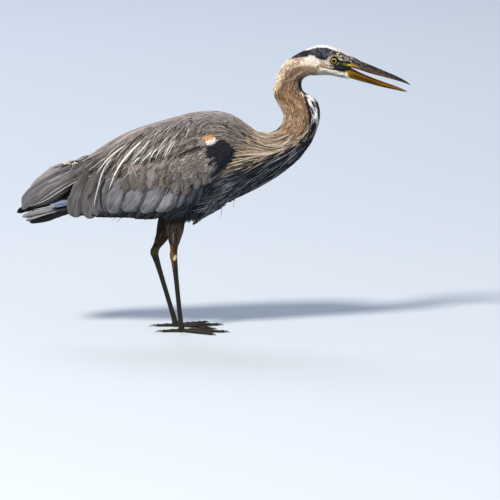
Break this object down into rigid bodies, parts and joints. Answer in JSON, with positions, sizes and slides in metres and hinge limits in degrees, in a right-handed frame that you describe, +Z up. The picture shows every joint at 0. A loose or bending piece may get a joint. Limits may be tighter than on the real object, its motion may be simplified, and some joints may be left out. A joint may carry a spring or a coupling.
{
  "type": "great blue heron",
  "caption": "Life-size great blue heron standing still on both feet, neck in a low S, head level, bill slightly open.",
  "frame": {"origin": "on the floor, below the middle of the bird's overall box", "axes": "+X towards the bill, +Y towards the bird's left side, +Z up"},
  "size_m": [0.899, 0.1801, 0.6611],
  "materials": {
    "grey_plumage": "soft matt feathers, grey-brown to blue-grey",
    "neck_plumage": "soft matt feathers, tan streaked with black and white",
    "head_plumage": "short matt feathers, white with a black side stripe",
    "dark_plumage": "matt slate-black feathers",
    "tail_plumage": "smooth grey vanes with pale shafts",
    "thigh_plumage": "short downy rufous-brown feathers",
    "bill_upper_horn": "semi-gloss horn, dark grey above and brown along the edge",
    "bill_lower_horn": "semi-gloss horn, orange-yellow",
    "leg_skin": "scaly olive-brown skin",
    "claw_horn": "dark horn",
    "eye": "clear wet cornea over a yellow iris and a black pupil"
  },
  "bodies": {
    "root": {"bill_lower": "bill_lower_horn", "bill_upper": "bill_upper_horn", "breast_plumes": "dark_plumage", "claw_hind_left": "claw_horn", "claw_hind_right": "claw_horn", "claw_inner_left": "claw_horn", "claw_inner_right": "claw_horn", "claw_middle_left": "claw_horn", "claw_middle_right": "claw_horn", "claw_outer_left": "claw_horn", "claw_outer_right": "claw_horn", "eye_left": "eye", "eye_right": "eye", "foot_left": "leg_skin", "foot_right": "leg_skin", "head": "head_plumage", "neck_lower": "neck_plumage", "neck_middle": "neck_plumage", "neck_upper": "neck_plumage", "primaries_left": "dark_plumage", "primaries_right": "dark_plumage", "shank_left": "leg_skin", "shank_right": "leg_skin", "tail": "tail_plumage", "thigh_left": "thigh_plumage", "thigh_right": "thigh_plumage", "trunk": "grey_plumage", "wing_left": "grey_plumage", "wing_right": "grey_plumage"}
  },
  "joints": []
}
